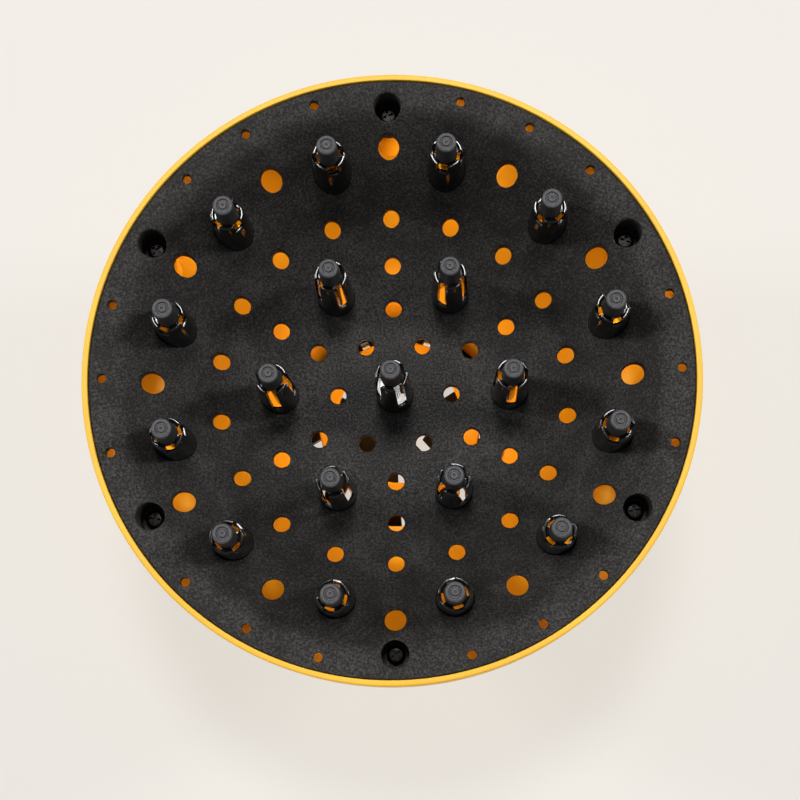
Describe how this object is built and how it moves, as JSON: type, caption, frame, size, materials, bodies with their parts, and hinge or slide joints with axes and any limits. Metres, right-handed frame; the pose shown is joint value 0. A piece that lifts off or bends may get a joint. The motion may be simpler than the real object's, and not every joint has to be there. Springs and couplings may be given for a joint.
{
  "type": "dryer diffuser",
  "caption": "Round bowl diffuser for a hair dryer, with a perforated plate, slotted finger prongs in rings and a rubber grip sleeve in the neck.",
  "frame": {"origin": "centre of the neck's rear face, on the diffuser's axis", "axes": "+Z along the axis, from the neck towards the prongs; +Y towards the first screw"},
  "size_m": [0.165, 0.165, 0.1217],
  "materials": {
    "shell_yellow": "satin moulded yellow",
    "plate_black": "spark-textured black",
    "prong_gloss": "gloss black",
    "tip_soft": "matte dark grey",
    "screw_steel": "black-oxide steel",
    "sleeve_rubber": "soft black rubber"
  },
  "bodies": {
    "root": {"rear_shell": "shell_yellow", "front_plate": "plate_black", "grip_sleeve": "sleeve_rubber", "finger_ring": "shell_yellow", "sleeve_retainer": "shell_yellow", "prong_centre": "prong_gloss", "tip_centre": "tip_soft", "prong_inner_1": "prong_gloss", "tip_inner_1": "tip_soft", "prong_inner_2": "prong_gloss", "tip_inner_2": "tip_soft", "prong_inner_3": "prong_gloss", "tip_inner_3": "tip_soft", "prong_inner_4": "prong_gloss", "tip_inner_4": "tip_soft", "prong_inner_5": "prong_gloss", "tip_inner_5": "tip_soft", "prong_inner_6": "prong_gloss", "tip_inner_6": "tip_soft", "prong_outer_1": "prong_gloss", "tip_outer_1": "tip_soft", "prong_outer_2": "prong_gloss", "tip_outer_2": "tip_soft", "prong_outer_3": "prong_gloss", "tip_outer_3": "tip_soft", "prong_outer_4": "prong_gloss", "tip_outer_4": "tip_soft", "prong_outer_5": "prong_gloss", "tip_outer_5": "tip_soft", "prong_outer_6": "prong_gloss", "tip_outer_6": "tip_soft", "prong_outer_7": "prong_gloss", "tip_outer_7": "tip_soft", "prong_outer_8": "prong_gloss", "tip_outer_8": "tip_soft", "prong_outer_9": "prong_gloss", "tip_outer_9": "tip_soft", "prong_outer_10": "prong_gloss", "tip_outer_10": "tip_soft", "prong_outer_11": "prong_gloss", "tip_outer_11": "tip_soft", "prong_outer_12": "prong_gloss", "tip_outer_12": "tip_soft", "screw_1": "screw_steel", "screw_2": "screw_steel", "screw_3": "screw_steel", "screw_4": "screw_steel", "screw_5": "screw_steel", "screw_6": "screw_steel"}
  },
  "joints": []
}
